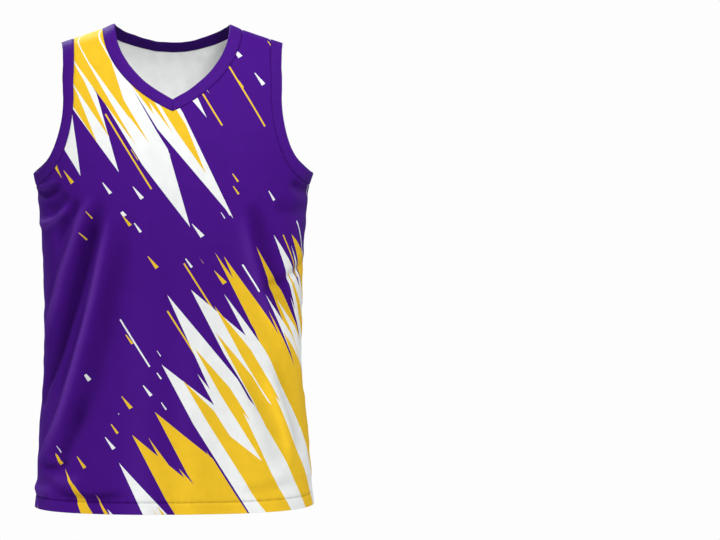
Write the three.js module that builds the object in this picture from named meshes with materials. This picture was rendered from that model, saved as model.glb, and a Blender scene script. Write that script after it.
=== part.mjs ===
// A sleeveless basketball jersey, filled out as if worn, with nobody inside.
// The front and back panels are sewn together at the sides and on the shoulders.
// A folded strip binds the V neck, and one more binds each armhole.
// The hem is turned up inside, so the wall is double there.
// Millimetres, +Z up, +X to the wearer's left, and the front faces -Y.
// The origin lies midway between the shoulder straps, where the wearer's shoulders carry them.

import * as THREE from "three";

// Cloth and sewing
const CLOTH_THICKNESS = 1.2;
const HEM_THICKNESS = 2.0;
const HEM_DEPTH = 17.5;
const BINDING_THICKNESS = 2.0;
const BINDING_CROWN = 0.5;
const NECK_BINDING_WIDTH = 17;
const NECK_BINDING_EXTRA = 3;
const NECK_BINDING_STAND = 0.1;
const ARM_BINDING_WIDTH = 19;
const ARM_BINDING_CURL = 0.5;
const CURL_LEVELS = [500, 620];
const SEAM_GAP = 0.3;

// Levels, measured up from the hem
const STRAP_MIDDLE = 707;
const PIT = 484;
const NECK_POINT = 717;
const SHOULDER_TIP = 702.4;

// Grid of each panel, for one half of its width
const COLUMNS = 16;
const BODY_ROWS = 20;
const ARMHOLE_ROWS = 18;
const SIDE_CROWDING = 0.45;
const MITRE_LENGTH = 22;

// Horizontal sections of the filled jersey. Above the armpit they run on through the
// missing sleeve to the shoulder line, and only what lies inside the armhole is cut.
// Depths are measured from the side seam. Squareness 2 is an ellipse.
const SECTIONS = [
  { height: 0, halfWidth: 210.5, front: 127, back: 116, squareness: 2.45 },
  { height: 18, halfWidth: 208.5, front: 126, back: 115, squareness: 2.45 },
  { height: 64, halfWidth: 205.5, front: 124, back: 112, squareness: 2.42 },
  { height: 124, halfWidth: 201.5, front: 122, back: 109, squareness: 2.4 },
  { height: 184, halfWidth: 196, front: 121, back: 107, squareness: 2.38 },
  { height: 245, halfWidth: 193.8, front: 121, back: 106, squareness: 2.36 },
  { height: 305, halfWidth: 194, front: 123, back: 108, squareness: 2.33 },
  { height: 365, halfWidth: 195.6, front: 127, back: 112, squareness: 2.3 },
  { height: 426, halfWidth: 199.4, front: 130, back: 117, squareness: 2.22 },
  { height: 484, halfWidth: 205.6, front: 129, back: 120, squareness: 2.12 },
  { height: 502, halfWidth: 210.5, front: 127, back: 120.5, squareness: 2.08 },
  { height: 533, halfWidth: 214, front: 123, back: 119.5, squareness: 2.05 },
  { height: 572, halfWidth: 215, front: 114, back: 115, squareness: 2.02 },
  { height: 606, halfWidth: 213.5, front: 103, back: 108, squareness: 2.0 },
  { height: 640, halfWidth: 208, front: 89, back: 97, squareness: 2.0 },
  { height: 667, halfWidth: 196.5, front: 77, back: 86, squareness: 2.0 },
  { height: 684, halfWidth: 183, front: 68, back: 77, squareness: 2.0 },
  { height: 695, halfWidth: 168, front: 62, back: 71, squareness: 2.0 },
  { height: 709, halfWidth: 128, front: 57, back: 65, squareness: 2.0 },
  { height: 723, halfWidth: 87, front: 53, back: 61, squareness: 2.0 },
  { height: 730, halfWidth: 67, front: 51, back: 59, squareness: 2.0 },
];

// Seam lines as seen square on: Bezier control points, x out from the middle and height
const NECK_SEAM = {
  front: [[[0, 597], [48, 618], [100, 661], [104, NECK_POINT]]],
  back: [[[0, 683.5], [40, 683.5], [84, 698], [104, NECK_POINT]]],
};
const ARMHOLE_SEAM = {
  front: [
    [[205.6, PIT], [178, 498], [149, 539], [147, 620]],
    [[147, 655], [147, 683], [147.5, SHOULDER_TIP]],
  ],
  back: [
    [[205.6, PIT], [180, 497], [152, 540], [151.5, 625]],
    [[151.5, 655], [149, 683], [147.5, SHOULDER_TIP]],
  ],
};

// The largest folds: half width across, depth out (+) or in (-), and a path of [x, height]
// on one panel. They run from under the arms across the flanks, where the cloth hangs free.
const FOLDS = [
  {
    panel: "front", halfWidth: 17, depth: -8,
    path: [[-110, 456], [-124, 420], [-138, 368], [-154, 310], [-172, 250], [-188, 196]],
  },
  {
    panel: "front", halfWidth: 12, depth: 4.6,
    path: [[-96, 440], [-103, 392], [-118, 332], [-130, 282], [-143, 232], [-160, 176], [-180, 122], [-196, 84]],
  },
  { panel: "front", halfWidth: 12, depth: 3.8, path: [[-139, 434], [-156, 392], [-171, 336], [-184, 292]] },
  { panel: "front", halfWidth: 13, depth: -3.4, path: [[-202, 446], [-188, 439], [-170, 447], [-154, 462]] },
  { panel: "front", halfWidth: 15, depth: -5.4, path: [[118, 462], [126, 424], [140, 372], [158, 318], [182, 272]] },
  { panel: "front", halfWidth: 12, depth: 3.2, path: [[102, 446], [110, 396], [124, 336], [144, 280], [168, 232]] },
  { panel: "front", halfWidth: 13, depth: -4.6, path: [[152, 214], [170, 168], [186, 118], [196, 74]] },
  { panel: "back", halfWidth: 17, depth: -7, path: [[-86, 488], [-92, 430], [-102, 364], [-114, 300], [-124, 262]] },
  { panel: "back", halfWidth: 12, depth: 3.2, path: [[-66, 478], [-74, 408], [-86, 330], [-100, 262]] },
  { panel: "back", halfWidth: 14, depth: -4.8, path: [[-188, 330], [-170, 268], [-144, 206], [-116, 160]] },
  { panel: "back", halfWidth: 13, depth: -4.2, path: [[-202, 448], [-180, 452], [-156, 474], [-142, 500]] },
  { panel: "back", halfWidth: 16, depth: -5.6, path: [[92, 482], [100, 418], [112, 350], [130, 286], [154, 236]] },
  { panel: "back", halfWidth: 13, depth: -3.8, path: [[196, 214], [180, 158], [156, 108], [136, 76]] },
];
const FOLD_PATH_STEPS = 14;
const FOLD_END_TAPER = 0.28;
const GIRTH_PER_RADIAN = 168;

// The hem flutes a little all round: its waves fade out upwards
const HEM_WAVES = 9;
const HEM_WAVE_DEPTH = 1.6;
const HEM_WAVE_REACH = 190;

// Smooth interpolation of one column of SECTIONS, with no overshoot between rows
function columnAt(name, height) {
  const last = SECTIONS.length - 1;
  let k = 0;
  while (k < last - 1 && height > SECTIONS[k + 1].height) k += 1;
  const rise = (i) =>
    (SECTIONS[i + 1][name] - SECTIONS[i][name]) / (SECTIONS[i + 1].height - SECTIONS[i].height);
  const slope = (i) => {
    if (i === 0) return rise(0);
    if (i === last) return rise(last - 1);
    const below = rise(i - 1);
    const above = rise(i);
    return below * above <= 0 ? 0 : (2 * below * above) / (below + above);
  };
  const step = SECTIONS[k + 1].height - SECTIONS[k].height;
  const t = THREE.MathUtils.clamp((height - SECTIONS[k].height) / step, -0.2, 1);
  const t2 = t * t;
  const t3 = t2 * t;
  return (
    SECTIONS[k][name] * (2 * t3 - 3 * t2 + 1) +
    slope(k) * step * (t3 - 2 * t2 + t) +
    SECTIONS[k + 1][name] * (3 * t2 - 2 * t3) +
    slope(k + 1) * step * (t3 - t2)
  );
}

// A place on the cloth is {angle, height}. The angle runs round from the middle of
// the front, 0, through the wearer's left side, 90 degrees, to the middle of the back.
function filledForm({ angle, height }) {
  const inFront = Math.cos(angle) > 0;
  const halfWidth = columnAt("halfWidth", height);
  const depth = columnAt(inFront ? "front" : "back", height);
  const power = columnAt("squareness", height);
  const across = Math.abs(Math.sin(angle)) / halfWidth;
  const along = Math.abs(Math.cos(angle)) / depth;
  const radius = (across ** power + along ** power) ** (-1 / power);
  return new THREE.Vector3(radius * Math.sin(angle), -radius * Math.cos(angle), height);
}

// The place on a panel that is seen square on at x and height
function placeAt(panel, x, height) {
  const halfWidth = columnAt("halfWidth", height);
  const power = columnAt("squareness", height);
  const share = Math.min(1, Math.abs(x) / halfWidth);
  const depth = columnAt(panel, height) * Math.max(0, 1 - share ** power) ** (1 / power);
  return { angle: Math.atan2(x, panel === "front" ? depth : -depth), height };
}

// Unit normal of any surface of places, pointing out of the garment
function normalOf(surface, { angle, height }) {
  const turn = 0.004;
  const lift = 0.6;
  const round = surface({ angle: angle + turn, height }).sub(surface({ angle: angle - turn, height }));
  const up = surface({ angle, height: height + lift }).sub(surface({ angle, height: height - lift }));
  return round.cross(up).normalize();
}

// Fold paths laid out flat, in girth millimetres round and height
const foldLines = FOLDS.map(({ panel, path, halfWidth, depth }) => {
  const flat = path.map(([x, height]) => {
    const place = placeAt(panel, x, height);
    const angle = panel === "back" && place.angle < 0 ? place.angle + 2 * Math.PI : place.angle;
    return new THREE.Vector2(angle * GIRTH_PER_RADIAN, height);
  });
  return { points: new THREE.SplineCurve(flat).getPoints(FOLD_PATH_STEPS), halfWidth, depth };
});

function foldDepth({ angle, height }) {
  let sum = 0;
  const here = new THREE.Vector2();
  for (const { points, halfWidth, depth } of foldLines) {
    for (const turn of [-2 * Math.PI, 0, 2 * Math.PI]) {
      here.set((angle + turn) * GIRTH_PER_RADIAN, height);
      let nearest = Infinity;
      let at = 0;
      for (let i = 0; i + 1 < points.length; i += 1) {
        const along = points[i + 1].clone().sub(points[i]);
        const t = THREE.MathUtils.clamp(here.clone().sub(points[i]).dot(along) / along.lengthSq(), 0, 1);
        const distance = here.distanceTo(points[i].clone().addScaledVector(along, t));
        if (distance < nearest) {
          nearest = distance;
          at = (i + t) / (points.length - 1);
        }
      }
      const fade = THREE.MathUtils.smoothstep(Math.min(at, 1 - at), -0.06, FOLD_END_TAPER);
      sum += depth * fade * Math.exp(-((nearest / halfWidth) ** 2));
    }
  }
  const hemFade = Math.exp(-height / HEM_WAVE_REACH);
  return sum + HEM_WAVE_DEPTH * hemFade * Math.sin(HEM_WAVES * angle + Math.sin(3 * angle));
}

// The outer face of the cloth: the filled form with its folds
function cloth(place) {
  return filledForm(place).addScaledVector(normalOf(filledForm, place), foldDepth(place));
}

// Evenly spaced places along a seam line, by length on the filled form
function seamPlaces(panel, curves, side, steps) {
  const dense = [];
  for (const control of curves) {
    const points = control.map(([x, height]) => new THREE.Vector2(side * x, height));
    const curve =
      points.length === 4 ? new THREE.CubicBezierCurve(...points) : new THREE.QuadraticBezierCurve(...points);
    // Cosine spacing keeps the samples close where the line turns over the shoulder or under the arm
    for (let i = 0; i <= 160; i += 1) {
      const { x, y } = curve.getPoint((1 - Math.cos((Math.PI * i) / 160)) / 2);
      dense.push(placeAt(panel, x, y));
    }
  }
  const lengths = [0];
  for (let i = 1; i < dense.length; i += 1) {
    lengths.push(lengths[i - 1] + filledForm(dense[i]).distanceTo(filledForm(dense[i - 1])));
  }
  const places = [];
  for (let step = 0; step <= steps; step += 1) {
    const wanted = (lengths[lengths.length - 1] * step) / steps;
    let i = 1;
    while (i < lengths.length - 1 && lengths[i] < wanted) i += 1;
    const t = (wanted - lengths[i - 1]) / Math.max(1e-9, lengths[i] - lengths[i - 1]);
    places.push({
      angle: THREE.MathUtils.lerp(dense[i - 1].angle, dense[i].angle, t),
      height: THREE.MathUtils.lerp(dense[i - 1].height, dense[i].height, t),
    });
  }
  // A seam line ends on the shoulder seam, over the side
  places[steps] = { angle: (side * Math.PI) / 2, height: dense[dense.length - 1].height };
  return places;
}

// Inner and outer ends of every row of a panel's half: up the middle and round the neck,
// and up the side seam and round the armhole
function rowEnds(panel, side) {
  const middle = panel === "front" ? 0 : side * Math.PI;
  const seamAngle = side * (Math.PI / 2);
  const rows = [];
  const bodyHeights = [0, HEM_DEPTH - 0.5, HEM_DEPTH + 1.5];
  for (let i = 1; i <= BODY_ROWS; i += 1) {
    bodyHeights.push(HEM_DEPTH + 1.5 + ((PIT - HEM_DEPTH - 1.5) * i) / BODY_ROWS);
  }
  for (const height of bodyHeights) {
    rows.push([{ angle: middle, height }, { angle: seamAngle, height }]);
  }
  const neckStart = NECK_SEAM[panel][0][0][1];
  const middleRise = neckStart - PIT;
  const neckLength = panel === "front" ? 176 : 128;
  const middleRows = Math.round((ARMHOLE_ROWS * middleRise) / (middleRise + neckLength));
  const neckPlaces = seamPlaces(panel, NECK_SEAM[panel], side, ARMHOLE_ROWS - middleRows);
  const armPlaces = seamPlaces(panel, ARMHOLE_SEAM[panel], side, ARMHOLE_ROWS);
  const neckRow = rows.length - 1 + middleRows;
  for (let i = 1; i <= ARMHOLE_ROWS; i += 1) {
    const inner =
      i <= middleRows
        ? { angle: middle, height: PIT + (middleRise * i) / middleRows }
        : neckPlaces[i - middleRows];
    rows.push([inner, armPlaces[i]]);
  }
  return { rows, neckRow, pitRow: bodyHeights.length - 1 };
}

// Keeps a panel's edge half a seam gap from the side seam and the shoulder seam
function clearOfSeam(point, panel) {
  const limit = SEAM_GAP / 2;
  if (panel === "front") point.y = Math.min(point.y, -limit);
  else point.y = Math.max(point.y, limit);
  return point;
}

function closedGeometry(positions, triangles) {
  const at = (i) => new THREE.Vector3().fromArray(positions, 3 * i);
  let volume = 0;
  for (const [a, b, c] of triangles) volume += at(a).dot(at(b).cross(at(c))) / 6;
  const facing = volume > 0 ? triangles : triangles.map(([a, b, c]) => [a, c, b]);
  const geometry = new THREE.BufferGeometry();
  geometry.setAttribute("position", new THREE.Float32BufferAttribute(positions, 3));
  geometry.setIndex(facing.flat());
  geometry.computeVertexNormals();
  return geometry;
}

// A panel as one wall: outer points, the same points moved in, and its edges closed
function panelGeometry(panel) {
  const halves = { "-1": rowEnds(panel, -1), 1: rowEnds(panel, 1) };
  const { neckRow } = halves[1];
  const outer = [];
  const inner = [];
  const rowStart = [];
  const addVertex = (place) => {
    const normal = normalOf(cloth, place);
    const thickness = place.height < HEM_DEPTH ? HEM_THICKNESS : CLOTH_THICKNESS;
    const point = cloth(place);
    outer.push(clearOfSeam(point.clone(), panel));
    inner.push(clearOfSeam(point.clone().addScaledVector(normal, -thickness), panel));
  };
  const spread = (i) => {
    const even = i / COLUMNS;
    return THREE.MathUtils.lerp(even, 1 - (1 - even) ** 1.7, SIDE_CROWDING);
  };
  const between = ([start, end], t) => ({
    angle: THREE.MathUtils.lerp(start.angle, end.angle, t),
    height: THREE.MathUtils.lerp(start.height, end.height, t),
  });
  const rowCount = halves[1].rows.length;
  for (let row = 0; row < rowCount; row += 1) {
    rowStart.push(outer.length);
    for (let i = COLUMNS; i >= 0; i -= 1) addVertex(between(halves[-1].rows[row], spread(i)));
    for (let i = row <= neckRow ? 1 : 0; i <= COLUMNS; i += 1) {
      addVertex(between(halves[1].rows[row], spread(i)));
    }
  }
  const vertex = (row, side, i) => {
    const split = row <= neckRow ? 0 : 1;
    return rowStart[row] + (side < 0 ? COLUMNS - i : COLUMNS + split + i);
  };
  const faces = [];
  for (let row = 0; row + 1 < rowCount; row += 1) {
    for (const side of [-1, 1]) {
      for (let i = 0; i < COLUMNS; i += 1) {
        const near = [vertex(row, side, i), vertex(row + 1, side, i)];
        const far = [vertex(row, side, i + 1), vertex(row + 1, side, i + 1)];
        const [a, b, c, d] = side > 0 ? [near[0], far[0], far[1], near[1]] : [far[0], near[0], near[1], far[1]];
        faces.push([a, b, c], [a, c, d]);
      }
    }
  }
  const edges = new Map();
  for (const face of faces) {
    face.forEach((a, k) => {
      const b = face[(k + 1) % 3];
      if (edges.has(`${b},${a}`)) edges.delete(`${b},${a}`);
      else edges.set(`${a},${b}`, [a, b]);
    });
  }
  const count = outer.length;
  const triangles = [...faces, ...faces.map(([a, b, c]) => [a + count, c + count, b + count])];
  for (const [a, b] of edges.values()) {
    triangles.push([b, a, a + count], [b, a + count, b + count]);
  }
  return closedGeometry([...outer, ...inner].flatMap((p) => p.toArray()), triangles);
}

// A folded strip sewn along a line of places. Each section starts a seam gap off the
// panel's edge, and lean turns its end towards the mitre of the V.
function bindingGeometry(stations, closed) {
  const sections = stations.map(({ place, along, width, stand = 0, lean = 0, endX = null }) => {
    const normal = normalOf(cloth, place);
    const start = cloth(place);
    const tangent = along.clone().addScaledVector(normal, -along.dot(normal)).normalize();
    const square = tangent.clone().cross(normal).applyAxisAngle(tangent, -stand).normalize();
    const face = square.clone().cross(tangent);
    const outward = square.clone().multiplyScalar(Math.cos(lean)).addScaledVector(tangent, Math.sin(lean));
    const reach = width / Math.cos(lean);
    const undercut = BINDING_THICKNESS * Math.tan(Math.max(0, -stand));
    const profile = [
      [SEAM_GAP, 0],
      [reach / 2, BINDING_CROWN],
      [reach - 1, 0.2],
      [reach, -BINDING_THICKNESS / 2],
      [reach - 1, -BINDING_THICKNESS],
      [reach / 2, -BINDING_THICKNESS],
      [SEAM_GAP + undercut, -BINDING_THICKNESS],
    ];
    return profile.map(([out, up]) => {
      const point = start.clone().addScaledVector(outward, out).addScaledVector(face, up);
      if (endX !== null) point.x = endX;
      return point;
    });
  });
  const ring = sections[0].length;
  const total = sections.length * ring;
  const triangles = [];
  for (let s = 0; s < (closed ? sections.length : sections.length - 1); s += 1) {
    for (let k = 0; k < ring; k += 1) {
      const a = s * ring + k;
      const b = s * ring + ((k + 1) % ring);
      const nextA = (a + ring) % total;
      const nextB = (b + ring) % total;
      triangles.push([a, b, nextB], [a, nextB, nextA]);
    }
  }
  const end = total - ring;
  for (let k = 1; !closed && k + 1 < ring; k += 1) {
    triangles.push([0, k + 1, k], [end, end + k, end + k + 1]);
  }
  return closedGeometry(sections.flat().flatMap((p) => p.toArray()), triangles);
}

// Directions along a line of places, from each one's neighbours
function directionsAlong(places) {
  const points = places.map(cloth);
  return points.map((_, i) => {
    const before = points[Math.max(0, i - 1)];
    const after = points[Math.min(points.length - 1, i + 1)];
    return after.clone().sub(before).normalize();
  });
}

// The neck strip runs from the V up one side, round the back and down to the V again
function neckBinding() {
  const line = (panel, side) => {
    const { rows, neckRow } = rowEnds(panel, side);
    return rows.slice(neckRow).map(([inner]) => inner);
  };
  const places = [
    ...line("front", -1).slice(0, -1),
    ...line("back", -1).reverse(),
    ...line("back", 1).slice(1),
    ...line("front", 1).reverse().slice(1),
  ].map((place) => ({ ...place }));
  const directions = directionsAlong(places);
  const points = places.map(cloth);
  const last = places.length - 1;
  const slope = (side) => {
    const [from, to] = side < 0 ? [points[0], points[1]] : [points[last], points[last - 1]];
    return Math.atan2(to.z - from.z, Math.abs(to.x - from.x));
  };
  const stations = places.map((place, i) => {
    const toMitre = Math.min(points[i].distanceTo(points[0]), points[i].distanceTo(points[last]));
    const side = i < last / 2 ? -1 : 1;
    const atMitre = 1 - THREE.MathUtils.smoothstep(toMitre, 0, MITRE_LENGTH);
    const atShoulder = Math.sin(place.angle) ** 4;
    return {
      place,
      along: directions[i],
      width: NECK_BINDING_WIDTH + NECK_BINDING_EXTRA * atShoulder,
      stand: NECK_BINDING_STAND * atShoulder,
      lean: Math.cos(place.angle) > 0 ? -side * slope(side) * atMitre : 0,
      endX: i === 0 || i === last ? (side * SEAM_GAP) / 2 : null,
    };
  });
  return bindingGeometry(stations, false);
}

// Each armhole strip is a closed loop, from the side seam up the front and down the back
function armBinding(side) {
  const line = (panel) => {
    const { rows, pitRow } = rowEnds(panel, side);
    return rows.slice(pitRow).map(([, outer]) => outer);
  };
  const places = [...line("front"), ...line("back").reverse().slice(1, -1)];
  const points = places.map(cloth);
  const count = places.length;
  const stations = places.map((place, i) => {
    const along = points[(i + 1) % count].clone().sub(points[(i + count - 1) % count]);
    const high = THREE.MathUtils.smoothstep(place.height, ...CURL_LEVELS);
    const curl = ARM_BINDING_CURL * Math.abs(Math.cos(place.angle)) * high;
    return { place, along: along.normalize().multiplyScalar(side), width: ARM_BINDING_WIDTH, stand: -curl };
  });
  return bindingGeometry(stations, true);
}

const dyedCloth = (color) => new THREE.MeshStandardMaterial({ color, roughness: 0.62, metalness: 0 });
const PANEL_CLOTH = dyedCloth("#4a1f86");
const BINDING_CLOTH = dyedCloth("#481a82");

const jersey = new THREE.Group();
jersey.position.z = -STRAP_MIDDLE;
const pieces = {
  front_panel: [panelGeometry("front"), PANEL_CLOTH],
  back_panel: [panelGeometry("back"), PANEL_CLOTH],
  neck_binding: [neckBinding(), BINDING_CLOTH],
  armhole_binding_right: [armBinding(-1), BINDING_CLOTH],
  armhole_binding_left: [armBinding(1), BINDING_CLOTH],
};
for (const [name, [geometry, material]] of Object.entries(pieces)) {
  const mesh = new THREE.Mesh(geometry, material);
  mesh.name = name;
  jersey.add(mesh);
}

export default jersey;
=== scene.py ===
"""A sleeveless basketball jersey, filled out as if worn, with nobody inside.

Millimetres are used while the cloth is worked out, and metres in the meshes. Heights are
measured up from the hem. The row's origin lies between the shoulder straps, and the
front faces -Y.
"""

import math

import bpy
import numpy as np
from mathutils.kdtree import KDTree
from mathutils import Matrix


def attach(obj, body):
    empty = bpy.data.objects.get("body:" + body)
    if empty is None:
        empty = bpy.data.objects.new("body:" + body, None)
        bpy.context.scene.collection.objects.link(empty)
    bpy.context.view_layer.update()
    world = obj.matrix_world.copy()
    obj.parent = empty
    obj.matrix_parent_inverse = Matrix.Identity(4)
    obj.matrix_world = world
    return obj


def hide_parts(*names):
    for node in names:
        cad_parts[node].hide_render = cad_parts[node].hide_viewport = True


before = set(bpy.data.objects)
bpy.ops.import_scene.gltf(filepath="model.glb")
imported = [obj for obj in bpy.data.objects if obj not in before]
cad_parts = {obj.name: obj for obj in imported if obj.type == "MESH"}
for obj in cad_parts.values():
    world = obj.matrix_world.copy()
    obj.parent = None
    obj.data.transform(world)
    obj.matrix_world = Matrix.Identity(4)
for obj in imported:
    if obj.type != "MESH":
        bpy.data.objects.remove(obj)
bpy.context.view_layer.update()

# Sizes, the same as the solids'
STRAP_MIDDLE = 707.0
PIT = 484.0
NECK_POINT = 717.0
SHOULDER_TIP = 702.4
HEM_DEPTH = 17.5
CLOTH_THICKNESS = 1.0
HEM_THICKNESS = 1.8
NECK_BINDING_WIDTH = 17.0
NECK_BINDING_EXTRA = 3.0
NECK_BINDING_STAND = 0.1
ARM_BINDING_WIDTH = 19.0
ARM_BINDING_CURL = 0.5
CURL_LEVELS = (500.0, 620.0)
MITRE_LENGTH = 22.0

# height, half width, front depth, back depth, squareness
SECTIONS = np.array([
    (0, 210.5, 127, 116, 2.45),
    (18, 208.5, 126, 115, 2.45),
    (64, 205.5, 124, 112, 2.42),
    (124, 201.5, 122, 109, 2.40),
    (184, 196.0, 121, 107, 2.38),
    (245, 193.8, 121, 106, 2.36),
    (305, 194.0, 123, 108, 2.33),
    (365, 195.6, 127, 112, 2.30),
    (426, 199.4, 130, 117, 2.22),
    (484, 205.6, 129, 120, 2.12),
    (502, 210.5, 127, 120.5, 2.08),
    (533, 214.0, 123, 119.5, 2.05),
    (572, 215.0, 114, 115, 2.02),
    (606, 213.5, 103, 108, 2.0),
    (640, 208.0, 89, 97, 2.0),
    (667, 196.5, 77, 86, 2.0),
    (684, 183.0, 68, 77, 2.0),
    (695, 168.0, 62, 71, 2.0),
    (709, 128.0, 57, 65, 2.0),
    (723, 87.0, 53, 61, 2.0),
    (730, 67.0, 51, 59, 2.0),
], float)
HALF_WIDTH, FRONT, BACK, SQUARENESS = 1, 2, 3, 4

# Seam lines seen square on: Bezier control points, x out from the middle and height
NECK_SEAM = {
    "front": [[(0, 597), (48, 618), (100, 661), (104, NECK_POINT)]],
    "back": [[(0, 683.5), (40, 683.5), (84, 698), (104, NECK_POINT)]],
}
ARMHOLE_SEAM = {
    "front": [
        [(205.6, PIT), (178, 498), (149, 539), (147, 620)],
        [(147, 655), (147, 683), (147.5, SHOULDER_TIP)],
    ],
    "back": [
        [(205.6, PIT), (180, 497), (152, 540), (151.5, 625)],
        [(151.5, 655), (149, 683), (147.5, SHOULDER_TIP)],
    ],
}

# Creases: half width, depth out (+) or in (-), and a path of (x, height) on one panel
FOLDS = [
    ("front", 5.5, -6.4, [(-208, 474), (-194, 471), (-182, 474), (-168, 487)]),
    ("front", 5, 3.0, [(-200, 479), (-188, 483), (-172, 494)]),
    ("front", 9, -4.0, [(-190, 448), (-176, 452), (-164, 462), (-154, 474)]),
    ("front", 6.5, 6.0, [(-200, 426), (-188, 428), (-174, 435), (-164, 446), (-156, 460)]),
    (
        "front", 12, -12.5,
        [(-108, 464), (-119, 428), (-128, 398), (-146, 338), (-164, 278), (-181, 217), (-191, 184)],
    ),
    ("front", 6, -6.5, [(-140, 468), (-152, 444), (-164, 425), (-174, 398)]),
    (
        "front", 7, 6.5,
        [(-120, 470), (-135, 443), (-149, 400), (-163, 362), (-174, 318), (-185, 278), (-192, 240)],
    ),
    (
        "front", 10, 3.0,
        [(-96, 444), (-104, 398), (-116, 338), (-131, 278), (-147, 217), (-164, 157), (-182, 108)],
    ),
    (
        "front", 5.5, 6.0,
        [
            (-96, 440), (-104, 398), (-116, 338), (-131, 278), (-147, 217), (-164, 157),
            (-178, 120), (-191, 90), (-203, 58),
        ],
    ),
    ("front", 20, -5.6, [(-72, 440), (-84, 370), (-102, 290), (-120, 225), (-140, 160), (-156, 110)]),
    ("front", 6, -3.0, [(-130, 314), (-146, 262), (-160, 216), (-174, 170)]),
    ("front", 11, -7.0, [(-136, 172), (-152, 128), (-165, 98), (-178, 70)]),
    ("front", 9, -3.6, [(-184, 216), (-190, 180), (-196, 148)]),
    ("front", 7, 3.5, [(-208, 32), (-196, 27), (-182, 36)]),
    ("front", 6, -5.6, [(-196, 68), (-184, 64), (-170, 68), (-158, 78)]),
    ("front", 7, 3.0, [(-182, 50), (-160, 46), (-138, 52)]),
    ("front", 7, -6.0, [(-180, 29), (-154, 23), (-116, 22), (-72, 28)]),
    ("front", 8, -4.4, [(206, 472), (192, 478), (176, 490)]),
    ("front", 12, -3.0, [(200, 452), (176, 446), (154, 462)]),
    ("front", 14, -6.6, [(118, 462), (126, 424), (140, 372), (158, 318), (182, 272)]),
    ("front", 11, 3.8, [(102, 446), (110, 396), (124, 336), (144, 280), (168, 232)]),
    ("front", 9, -6.6, [(148, 224), (167, 174), (184, 122), (196, 74)]),
    ("front", 8, 4.6, [(130, 206), (148, 158), (165, 106), (176, 62)]),
    ("front", 10, -5.0, [(104, 196), (124, 148), (142, 98), (158, 54)]),
    ("front", 8, -3.2, [(198, 372), (180, 352), (150, 336), (128, 330)]),
    ("front", 9, -2.4, [(184, 40), (140, 34), (96, 32)]),
    ("back", 8, -4.6, [(-206, 470), (-190, 478), (-170, 496), (-156, 514)]),
    ("back", 10, -6.2, [(-202, 448), (-180, 452), (-156, 474), (-142, 500)]),
    ("back", 7, 3.6, [(-203, 460), (-184, 466), (-162, 486), (-148, 508)]),
    ("back", 9, 4.4, [(-198, 420), (-170, 424), (-144, 452), (-130, 488)]),
    ("back", 15, -10.5, [(-86, 488), (-92, 430), (-102, 364), (-114, 300), (-124, 262)]),
    ("back", 11, 4.4, [(-66, 478), (-74, 408), (-86, 330), (-100, 262)]),
    ("back", 13, -7.6, [(-186, 330), (-164, 268), (-136, 200), (-104, 144), (-78, 92)]),
    ("back", 10, 4.4, [(-192, 292), (-176, 232), (-150, 170), (-128, 126)]),
    ("back", 9, -4.2, [(-190, 92), (-160, 100), (-126, 84)]),
    ("back", 7, 3.2, [(-196, 74), (-166, 72), (-140, 58)]),
    ("back", 6, 3.0, [(-170, 300), (-148, 240), (-118, 186), (-92, 142)]),
    ("back", 8, -4.2, [(206, 470), (190, 478), (168, 498)]),
    ("back", 10, -5.2, [(200, 446), (176, 452), (152, 480)]),
    ("back", 15, -8.2, [(92, 482), (100, 418), (112, 350), (130, 286), (154, 236)]),
    ("back", 11, 3.8, [(74, 468), (82, 396), (96, 322), (114, 256)]),
    ("back", 12, -6.0, [(196, 214), (180, 158), (156, 108), (136, 76)]),
]
FOLD_STEPS = 20
FOLD_FADE = (-0.06, 0.28)
FOLD_REACH = 3.0
GIRTH_PER_RADIAN = 168.0
HEM_WAVES, HEM_WAVE_SHIFTS = 9, 3
HEM_WAVE_DEPTH = 1.6
HEM_WAVE_REACH = 190.0

# Share of the lowest step between two sections by which the form runs on below the hem
BELOW_HEM = -0.2
NORMAL_TURN, NORMAL_LIFT = 0.004, 0.6
SEAM_SAMPLES = 240


def column_at(column, height):
    """One column of SECTIONS at each height, smooth and with no overshoot between rows."""
    levels, values = SECTIONS[:, 0], SECTIONS[:, column]
    rise = np.diff(values) / np.diff(levels)
    slope = np.concatenate([[rise[0]], np.zeros(len(rise) - 1), [rise[-1]]])
    product = rise[:-1] * rise[1:]
    both = np.where(product > 0, rise[:-1] + rise[1:], 1.0)
    slope[1:-1] = np.where(product > 0, 2 * product / both, 0.0)
    k = np.clip(np.searchsorted(levels, height) - 1, 0, len(levels) - 2)
    step = levels[k + 1] - levels[k]
    t = np.clip((height - levels[k]) / step, BELOW_HEM, 1)
    return (
        values[k] * (2 * t**3 - 3 * t**2 + 1)
        + slope[k] * step * (t**3 - 2 * t**2 + t)
        + values[k + 1] * (3 * t**2 - 2 * t**3)
        + slope[k + 1] * step * (t**3 - t**2)
    )


def filled_form(angle, height):
    """Points of the form that the wearer fills; the angle runs from the front's middle to +X."""
    in_front = np.cos(angle) > 0
    depth = np.where(in_front, column_at(FRONT, height), column_at(BACK, height))
    power = column_at(SQUARENESS, height)
    across = np.abs(np.sin(angle)) / column_at(HALF_WIDTH, height)
    along = np.abs(np.cos(angle)) / depth
    radius = (across**power + along**power) ** (-1 / power)
    return np.stack([radius * np.sin(angle), -radius * np.cos(angle), height + 0 * angle], -1)


def place_at(panel, x, height):
    """(angle, height) of the place on a panel that is seen square on at x and height."""
    power = column_at(SQUARENESS, height)
    share = np.minimum(1, np.abs(x) / column_at(HALF_WIDTH, height))
    depth = column_at(FRONT if panel == "front" else BACK, height)
    depth = depth * np.maximum(0, 1 - share**power) ** (1 / power)
    return np.arctan2(x, depth if panel == "front" else -depth), height + 0 * share


def unit(v):
    return v / np.maximum(np.linalg.norm(v, axis=-1, keepdims=True), 1e-12)


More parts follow.
